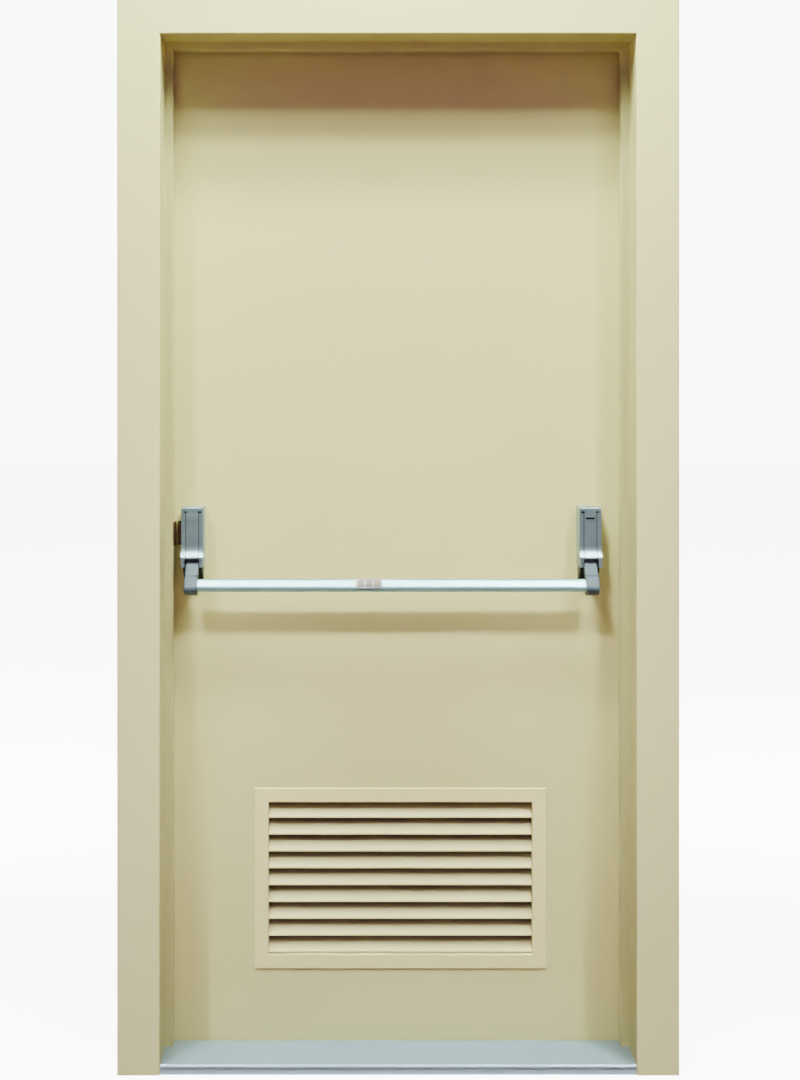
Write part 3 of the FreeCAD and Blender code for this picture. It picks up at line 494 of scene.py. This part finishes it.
def brushed(slot, tones, metallic, roughness, line, along, highlight_depth=None):
    """Metal brushed along one axis, in lines this wide, with a painted highlight in front of a depth."""
    tree, shader = start_finish(slot, metallic, roughness[0])
    stretch = [1.0, 1.0, 1.0]
    stretch[along] = BRUSH_STRETCH
    lines = cloud(tree, own_place(tree, stretch), line, detail=3.0)
    patches = cloud(tree, own_place(tree), WORN_SIZE, detail=4.0)
    mean = worked(tree, "MULTIPLY", worked(tree, "ADD", lines, patches), 0.5)
    colour = tint(tree, spread(tree, mean, 0.0, 1.0), tones)
    # Painted highlight: the colour is raised in front of the given depth
    if highlight_depth is not None:
        depth = own_axes(tree)["Y"]
        share = spread(tree, depth, NOSING_HIGHLIGHT, 1.0, highlight_depth, highlight_depth + NOSING_FADE)
        colour = shaded(tree, colour, share)
    gloss = spread(tree, lines, *roughness)
    feed(tree, shader, colour=colour, roughness=gloss, normal=relief(tree, lines, BRUSH_RIDGE))


nosing_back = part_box("threshold")[0].y + NOSING_DEEP
brushed(
    "sill_steel", SILL_TONES, metallic=0.2, roughness=(0.30, 0.40), line=0.35 * MM, along=ALONG_X,
    highlight_depth=nosing_back,
)
print("sill brushed")

# %% [markdown]
# The push bar is a satin anodised tube, brushed along its length and rubbed a little brighter by
# hands. Hinges are satin steel brushed up and down. Both use the same brushing with other tones.

# %% Bar and hinges
BAR_TONES = ((0.42, 0.84, 0.97), (0.48, 0.91, 1.0))
HINGE_TONES = ((0.42, 0.43, 0.43), (0.58, 0.59, 0.60))
brushed(
    "bar_metal", BAR_TONES, metallic=0.8, roughness=(0.34, 0.42), line=0.25 * MM, along=ALONG_X,
)
brushed(
    "hinge_steel", HINGE_TONES, metallic=0.9, roughness=(0.32, 0.45), line=0.3 * MM, along=ALONG_Z,
)
print("bar and hinges brushed")

# %% [markdown]
# Housings and lever arms are zinc castings under grey paint. A cast skin is finely pitted and its
# paint keeps a soft satin gloss, so the pattern is small cells rather than waves. The front of
# each housing has two fine grooves, which start a little below its top. They get painted shade,
# so the paint is darker there.

# %% Painted castings
PIT_SIZE = 0.9 * MM
PIT_DEPTH = 0.03 * MM
CAST_PATCH_SIZE = 18 * MM
HOUSING_TONES = ((0.37, 0.54, 0.62), (0.42, 0.60, 0.68))
ARM_TONES = ((0.05, 0.085, 0.11), (0.06, 0.10, 0.13))
CHASSIS_TONES = ((0.035, 0.042, 0.045), (0.05, 0.058, 0.062))
# Painted shade: the housings' colour is darkened in their two fine grooves
GROOVE_REACH = 13 * MM
GROOVE_HALF = 0.6 * MM
GROOVE_EDGE = 0.9 * MM
GROOVE_DROP = 11 * MM
GROOVE_SHADE = 0.25


def groove_shade(tree):
    """Painted shade: 1 on the housings, less in the two fine grooves of each."""
    lock = sum(corner.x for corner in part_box("cover_lock")) / 2
    hinge = sum(corner.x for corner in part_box("cover_hinge")) / 2
    axes = own_axes(tree)
    off_middle = apart(tree, axes["X"], (lock + hinge) / 2)
    off_housing = apart(tree, off_middle, (hinge - lock) / 2)
    off_groove = apart(tree, off_housing, GROOVE_REACH)
    share = spread(tree, off_groove, GROOVE_SHADE, 1.0, GROOVE_HALF, GROOVE_EDGE)
    groove_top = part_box("cover_lock")[1].z - GROOVE_DROP
    return worked(tree, "MAXIMUM", share, worked(tree, "GREATER_THAN", axes["Z"], groove_top))


def casting(slot, tones, metallic, roughness, painted_shade=None):
    """Painted casting with a finely pitted skin, and painted shade where it has some."""
    tree, shader = start_finish(slot, metallic, roughness[0])
    place = own_place(tree)
    pits = tree.nodes.new("ShaderNodeTexVoronoi")
    pits.inputs["Scale"].default_value = 1 / PIT_SIZE
    tree.links.new(place, pits.inputs["Vector"])
    patches = full_cloud(tree, place, CAST_PATCH_SIZE, detail=3.0)
    colour = tint(tree, patches, tones)
    if painted_shade:
        colour = shaded(tree, colour, painted_shade(tree))
    gloss = spread(tree, patches, *roughness, 0.0, 1.0)
    normal = relief(tree, pits.outputs["Distance"], PIT_DEPTH)
    feed(tree, shader, colour=colour, roughness=gloss, normal=normal)


casting("housing_grey", HOUSING_TONES, metallic=0.9, roughness=(0.34, 0.39), painted_shade=groove_shade)
casting("arm_grey", ARM_TONES, metallic=0.2, roughness=(0.48, 0.56))
casting("chassis_dark", CHASSIS_TONES, metallic=0.1, roughness=(0.45, 0.6))
print("castings painted")

# %% [markdown]
# The latch bolt is dark bronze, worn brighter where it slides. Anchors and clips are galvanised,
# which shows as angular spangles of lighter and darker zinc.

# %% Bronze and zinc
BRONZE_TONES = ((0.10, 0.055, 0.035), (0.22, 0.13, 0.07))
BRONZE_STRETCH = (0.08, 1, 1)
BRONZE_LINE = 1.5 * MM
BRONZE_RIDGE = 0.01 * MM
ZINC_TONES = ((0.40, 0.41, 0.42), (0.58, 0.60, 0.61))
ZINC_ROUGHNESS = (0.35, 0.55)
SPANGLE = 9 * MM

tree, shader = start_finish("latch_bronze", metallic=0.7, roughness=0.4)
rub = full_cloud(tree, own_place(tree, BRONZE_STRETCH), BRONZE_LINE, detail=3.0)
feed(tree, shader, colour=tint(tree, rub, BRONZE_TONES), normal=relief(tree, rub, BRONZE_RIDGE))

tree, shader = start_finish("fixing_zinc", metallic=0.8, roughness=0.45)
spangles = tree.nodes.new("ShaderNodeTexVoronoi")
spangles.inputs["Scale"].default_value = 1 / SPANGLE
tree.links.new(own_place(tree), spangles.inputs["Vector"])
lots = tree.nodes.new("ShaderNodeSeparateColor")
tree.links.new(spangles.outputs["Color"], lots.inputs["Color"])
colour = tint(tree, lots.outputs["Red"], ZINC_TONES)
feed(tree, shader, colour=colour, roughness=spread(tree, lots.outputs["Green"], *ZINC_ROUGHNESS, 0, 1))
print("bronze and zinc ready")

# %% [markdown]
# Two quiet materials are left: the black rubber strip in the rebate, matt with a bloom of dust,
# and the kraft filling inside the leaf, which shows only if the leaf is ever cut open.

# %% Rubber and filling
RUBBER_TONES = ((0.012, 0.012, 0.012), (0.03, 0.029, 0.027))
BLOOM_SIZE = 12 * MM
RUBBER_GRAIN = 0.8 * MM
RUBBER_DEPTH = 0.02 * MM
KRAFT_TONES = ((0.36, 0.26, 0.15), (0.46, 0.34, 0.21))
FIBRE_STRETCH = (1, 1, 0.2)
FIBRE_SIZE = 2 * MM
FIBRE_DEPTH = 0.1 * MM

tree, shader = start_finish("seal_rubber", metallic=0.0, roughness=0.75)
bloom = full_cloud(tree, own_place(tree), BLOOM_SIZE, detail=4.0)
grain = relief(tree, cloud(tree, own_place(tree), RUBBER_GRAIN), RUBBER_DEPTH)
feed(tree, shader, colour=tint(tree, bloom, RUBBER_TONES), normal=grain)

tree, shader = start_finish("core_fill", metallic=0.0, roughness=0.9)
fibres = full_cloud(tree, own_place(tree, FIBRE_STRETCH), FIBRE_SIZE, detail=4.0)
feed(tree, shader, colour=tint(tree, fibres, KRAFT_TONES), normal=relief(tree, fibres, FIBRE_DEPTH))
print(len(finishes), "finishes")

# %% [markdown]
# Every piece of the construction already says which slot it belongs to. Putting the finish in
# the piece's own material slots dresses it without touching its shape.

# %% Dress the construction
for part in frame["record"]["subparts"]:
    slots = nodes[part["node"]].data.materials
    slots.clear()
    slots.append(finishes[part["material_slot"]])

# %% [markdown]
# Pieces fitted by hand come next. Each is shaped flat at the origin, facing up, and then turned
# and moved to its seat, so that its place ends up in its mesh. The helpers below round edges and
# turn a shape into a finished piece: smooth on its round parts, sharp at its creases, riding the
# right body, and in its slot's finish or a paint of its own. An extrusion numbers its new faces by
# chance, so they are numbered again by their place, and every run gives the same mesh.

# %% Helpers for fitted pieces
CREASE = math.radians(35)
PLACE_DIGITS = 6
FACING = {
    "push": Matrix.Rotation(math.radians(90), 4, "X"),
    "pull": Matrix.Rotation(math.radians(-90), 4, "X"),
    "hinge_side": Matrix.Rotation(math.radians(90), 4, "Y"),
    "lock_side": Matrix.Rotation(math.radians(-90), 4, "Y"),
}


def renumbered(items, place):
    """Numbers vertices or faces by their place, to so many digits of a metre."""
    ranked = sorted(items, key=lambda item: [round(value, PLACE_DIGITS) for value in place(item)])
    for rank, item in enumerate(ranked):
        item.index = rank
    items.sort()


def fitted(shape, name, body, slot, paint=None):
    """Makes the finished piece from a shape that is already in its place."""
    bmesh.ops.recalc_face_normals(shape, faces=shape.faces)
    renumbered(shape.verts, lambda vert: vert.co)
    renumbered(shape.faces, lambda face: face.calc_center_median())
    mesh = bpy.data.meshes.new(name)
    shape.to_mesh(mesh)
    shape.free()
    mesh.shade_smooth()
    mesh.set_sharp_from_angle(angle=CREASE)
    mesh.materials.append(paint or finishes[slot])
    piece = bpy.data.objects.new(name, mesh)
    scene.collection.objects.link(piece)
    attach(piece, body)
    print(name, len(mesh.polygons), "faces")


def bevelled(shape, geom, offset, segments=2, affect="EDGES"):
    """Rounds these edges or vertices of a shape."""
    bmesh.ops.bevel(
        shape, geom=geom, offset=offset, segments=segments, profile=0.5, affect=affect, material=-1,
    )


def verts_of(geom):
    """The vertices in what a bmesh operator gives back."""
    return [item for item in geom if isinstance(item, bmesh.types.BMVert)]


print("facings:", sorted(FACING))

# %% [markdown]
# A screw head is a small disc with a cross recess. It starts as a five by five grid whose rim is
# pushed out to a circle. The five cells that make a plus in the middle are pressed in, the rim is
# drawn down for the side of the head, and its edge is rounded. Pan heads stand high, countersunk
# heads lie all but flush.

# %% Screw heads
GRID = 5
GRID_SHARE = 0.75
RECESS_SHARE = 0.6
ROUND_SHARE = 0.45


def screw_head(shape, seat, radius, height):
    """Adds one head of this radius and height at a seat, a matrix that faces it outwards."""
    earlier = set(shape.verts)
    half = radius * GRID_SHARE
    grid = bmesh.ops.create_grid(shape, x_segments=GRID, y_segments=GRID, size=half)["verts"]
    faces = [face for face in shape.faces if face.verts[0] not in earlier]
    edges = [edge for edge in shape.edges if edge.verts[0] not in earlier]
    rim = [edge for edge in edges if edge.is_boundary]
    for vert in grid:
        if vert.is_boundary:
            vert.co = vert.co.normalized() * radius
    cell = 2 * half / GRID
    plus = []
    for face in faces:
        middle = face.calc_center_median()
        steps = sorted((round(abs(middle.x) / cell), round(abs(middle.y) / cell)))
        if steps[0] == 0 and steps[1] <= 1:
            plus.append(face)
    sunk = verts_of(bmesh.ops.extrude_face_region(shape, geom=plus)["geom"])
    bmesh.ops.delete(shape, geom=plus, context="FACES_ONLY")
    bmesh.ops.translate(shape, verts=sunk, vec=(0, 0, -height * RECESS_SHARE))
    foot = verts_of(bmesh.ops.extrude_edge_only(shape, edges=rim)["geom"])
    bmesh.ops.translate(shape, verts=foot, vec=(0, 0, -height))
    bevelled(shape, rim, height * ROUND_SHARE)
    head = [vert for vert in shape.verts if vert not in earlier]
    bmesh.ops.translate(shape, verts=head, vec=(0, 0, height))
    bmesh.ops.transform(shape, matrix=seat, verts=head)


def screws(name, body, slot, facing, places, head):
    """A set of equal screws on one surface, with heads of one radius and height."""
    shape = bmesh.new()
    for place in places:
        screw_head(shape, Matrix.Translation(place) @ FACING[facing], *head)
    fitted(shape, name, body, slot)


print("cross recess of", GRID, "by", GRID, "cells")

# %% [markdown]
# Each hinge plate is held by four countersunk screws in two staggered columns. The frame's plates
# face the leaf's edge, and the leaf's plates face the frame, so their screws show when the door
# stands open.

# %% Hinge screws
HINGE_HEAD = (4.2 * MM, 0.3 * MM)
HINGE_STEPS = ((-36 * MM, 12 * MM), (-12 * MM, 28 * MM), (12 * MM, 12 * MM), (36 * MM, 28 * MM))
HINGE_SIDES = (("frame", "lock_side", 3 * MM), ("leaf", "hinge_side", 2 * MM))
leaf_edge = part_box("leaf_hinge_edge")[1].x
for place in ("low", "mid", "high"):
    for side, facing, off_leaf in HINGE_SIDES:
        low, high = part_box(f"hinge_{place}_{side}_plate")
        middle = (low.z + high.z) / 2
        seats = [(leaf_edge + off_leaf, low.y + deep, middle + up) for up, deep in HINGE_STEPS]
        name = f"hinge_{place}_{side}_screws"
        screws(name, side, "hinge_steel", facing, seats, HINGE_HEAD)

# %% [markdown]
# On the pull side the louvre's inner surround is screwed through the leaf to the outer one, which
# is why the push side shows a clean flange. Eight pan heads sit along the middle of the flange.

# %% Louvre screws
LOUVRE_HEAD = (4 * MM, 1.8 * MM)
LOUVRE_COLUMNS = (0, 1 / 3, 2 / 3, 1)
low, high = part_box("louvre_pull_surround")
inset = FLANGE / 2
columns = [low.x + inset + share * (high.x - low.x - FLANGE) for share in LOUVRE_COLUMNS]
seats = [(x, high.y, z) for x in columns for z in (low.z + inset, high.z - inset)]
screws("louvre_pull_screws", "leaf", "louvre_coat", "pull", seats, LOUVRE_HEAD)

# %% [markdown]
# The strike on the lock side stop takes two small countersunk screws.

# %% Strike screws
STRIKE_HEAD = (3.2 * MM, 0.3 * MM)
STRIKE_GAUGE = 2 * MM
STRIKE_INSET = 9 * MM
low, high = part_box("strike")
middle = (low.y + high.y) / 2
heights = (low.z + STRIKE_INSET, high.z - STRIKE_INSET)
seats = [(low.x + STRIKE_GAUGE, middle, z) for z in heights]
screws("strike_screws", "frame", "latch_bronze", "hinge_side", seats, STRIKE_HEAD)

# %% [markdown]
# Each housing is closed by two screws in the slots at its top. The heads sit a little below the
# front, so the slots read as dark recesses.

# %% Housing screws
HOUSING_HEAD = (1.9 * MM, 0.9 * MM)
SLOT_DROP = 9 * MM
SLOT_REACH = 14.5 * MM
SLOT_SUNK = 2.4 * MM
CASE_DEEP = 38 * MM
case_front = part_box("leaf_push_skin")[0].y - CASE_DEEP
for side in ("lock", "hinge"):
    low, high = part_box(f"cover_{side}")
    middle = (low.x + high.x) / 2
    places = (middle - SLOT_REACH, middle + SLOT_REACH)
    seats = [(x, case_front + SLOT_SUNK, high.z - SLOT_DROP) for x in places]
    screws(f"housing_screws_{side}", "leaf", "chassis_dark", "push", seats, HOUSING_HEAD)

# %% [markdown]
# A plain plate fills the recess in each housing's front. It starts as a three by three grid, so
# the middle cell can be opened for the key slot on the hinge side. The sheet is then thickened
# and its outer edge bevelled, and the bevels at top and bottom catch the light as two fine lines.

# %% Plates in the housings
PLATE_HALF = Vector((11.1, 7.6)) * MM
PLATE_THICK = 1.0 * MM
PLATE_BEVEL = 0.35 * MM
SLOT_HALF = Vector((9.4, 2.0)) * MM
KEY_SLOT_RISE = -0.7 * MM
LABEL_DROP = 21 * MM
LABEL_DEEP = 0.6 * MM
# Between the grid's inner lines, a third from its middle, and its rim, one from it
HALFWAY = 0.5


def housing_plate(name, centre, front, has_slot):
    """A bevelled plate in the recess of a housing, with a window for the key slot where it has one."""
    shape = bmesh.new()
    bmesh.ops.create_grid(shape, x_segments=3, y_segments=3, size=1)
    for vert in shape.verts:
        outer_x = abs(vert.co.x) > HALFWAY
        outer_y = abs(vert.co.y) > HALFWAY
        vert.co.x = math.copysign(PLATE_HALF.x if outer_x else SLOT_HALF.x, vert.co.x)
        vert.co.y = math.copysign(PLATE_HALF.y if outer_y else SLOT_HALF.y, vert.co.y)
        if not outer_y:
            vert.co.y += KEY_SLOT_RISE
    if has_slot:
        window = min(shape.faces, key=lambda face: face.calc_center_median().length)
        bmesh.ops.delete(shape, geom=[window], context="FACES_ONLY")
    bmesh.ops.solidify(shape, geom=shape.faces[:], thickness=PLATE_THICK)
    top = max(vert.co.z for vert in shape.verts)
    rim = []
    for edge in shape.edges:
        high_up = all(vert.co.z > top - PLATE_THICK / 2 for vert in edge.verts)
        if high_up and edge.calc_face_angle(0) > CREASE:
            rim.append(edge)
    bevelled(shape, rim, PLATE_BEVEL)
    bmesh.ops.translate(shape, verts=shape.verts, vec=(0, 0, PLATE_THICK - top))
    seat = Matrix.Translation((centre.x, front + LABEL_DEEP, centre.y)) @ FACING["push"]
    bmesh.ops.transform(shape, matrix=seat, verts=shape.verts)
    fitted(shape, name, "leaf", "housing_grey")


for side in ("lock", "hinge"):
    low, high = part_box(f"cover_{side}")
    centre = Vector(((low.x + high.x) / 2, high.z - LABEL_DROP))
    housing_plate(f"housing_plate_{side}", centre, case_front, side == "hinge")

# %% [markdown]
# A plain badge is stuck round the front of the push bar, left of the middle. It carries no words:
# a blue-grey band with three blank rounded fields. The bar's front leans back with its arms, so
# the badge is shaped flat and then hung from the pivot at the same angle.

# %% Badge on the bar
BADGE_SIZE = Vector((53, 20.4)) * MM
BADGE_THICK = 0.5 * MM
BADGE_CORNER = 2 * MM
BADGE_MIDDLE = -56.5 * MM
BADGE_TONES = ((0.20, 0.25, 0.30), (0.25, 0.31, 0.36))
FIELD_SIZE = Vector((13, 13)) * MM
FIELD_THICK = 0.3 * MM
FIELD_CORNER = 4 * MM
FIELD_STEP = 16.5 * MM
FIELD_TONES = ((0.10, 0.09, 0.045), (0.15, 0.135, 0.07))
CORNER_SEGMENTS = 5
RIM_SHARE = 0.4
ENAMEL_ROUGHNESS = 0.35
MOTTLE_SIZE = 3 * MM
MOTTLE_DEPTH = 0.01 * MM
ARM_ANGLE = math.radians(33.7)
ARM_LENGTH = 72 * MM
BAR_HALF_DEEP = 9 * MM
pivot = Vector([joint for joint in frame["joints"] if joint["name"] == "bar_push"][0]["pos_m"])


def rounded_plate(size, thick, corner, middle=0.0):
    """A flat plate with round corners and a softened rim, facing up on the origin's plane."""
    shape = bmesh.new()
    bmesh.ops.create_grid(shape, x_segments=1, y_segments=1, size=0.5)
    bmesh.ops.scale(shape, vec=(size.x, size.y, 1), verts=shape.verts)
    bevelled(shape, shape.verts[:], corner, CORNER_SEGMENTS, "VERTICES")
    raised = bmesh.ops.extrude_face_region(shape, geom=shape.faces[:])["geom"]
    bmesh.ops.translate(shape, verts=verts_of(raised), vec=(0, 0, thick))
    rim = [item for item in raised if isinstance(item, bmesh.types.BMEdge)]
    bevelled(shape, rim, thick * RIM_SHARE)
    bmesh.ops.translate(shape, verts=shape.verts, vec=(middle, 0, 0))
    return shape


def hung_on_bar(shape, lift):
    """Moves a flat shape onto the bar's front, lifted off it by a distance."""
    hang = Matrix.Translation(pivot) @ Matrix.Rotation(-ARM_ANGLE, 4, "X")
    seat = Matrix.Translation((BADGE_MIDDLE, -BAR_HALF_DEEP - lift, -ARM_LENGTH)) @ FACING["push"]
    bmesh.ops.transform(shape, matrix=hang @ seat, verts=shape.verts)
    return shape


def enamel(name, tones):
    """Printed enamel on the badge, slightly mottled. It is a paint of its own, not a slot's."""
    tree, shader = start_finish(name, 0.0, ENAMEL_ROUGHNESS)
    mottle = full_cloud(tree, own_place(tree), MOTTLE_SIZE, detail=3.0)
    feed(tree, shader, colour=tint(tree, mottle, tones), normal=relief(tree, mottle, MOTTLE_DEPTH))
    return finishes.pop(name)


band_paint = enamel("badge_band", BADGE_TONES)
field_paint = enamel("badge_field", FIELD_TONES)
band = hung_on_bar(rounded_plate(BADGE_SIZE, BADGE_THICK, BADGE_CORNER), 0.0)
fitted(band, "badge_band", "bar", "bar_metal", band_paint)
for number, way in enumerate((-1, 0, 1), start=1):
    field = rounded_plate(FIELD_SIZE, FIELD_THICK, FIELD_CORNER, way * FIELD_STEP)
    field = hung_on_bar(field, BADGE_THICK)
    fitted(field, f"badge_field_{number}", "bar", "bar_metal", field_paint)
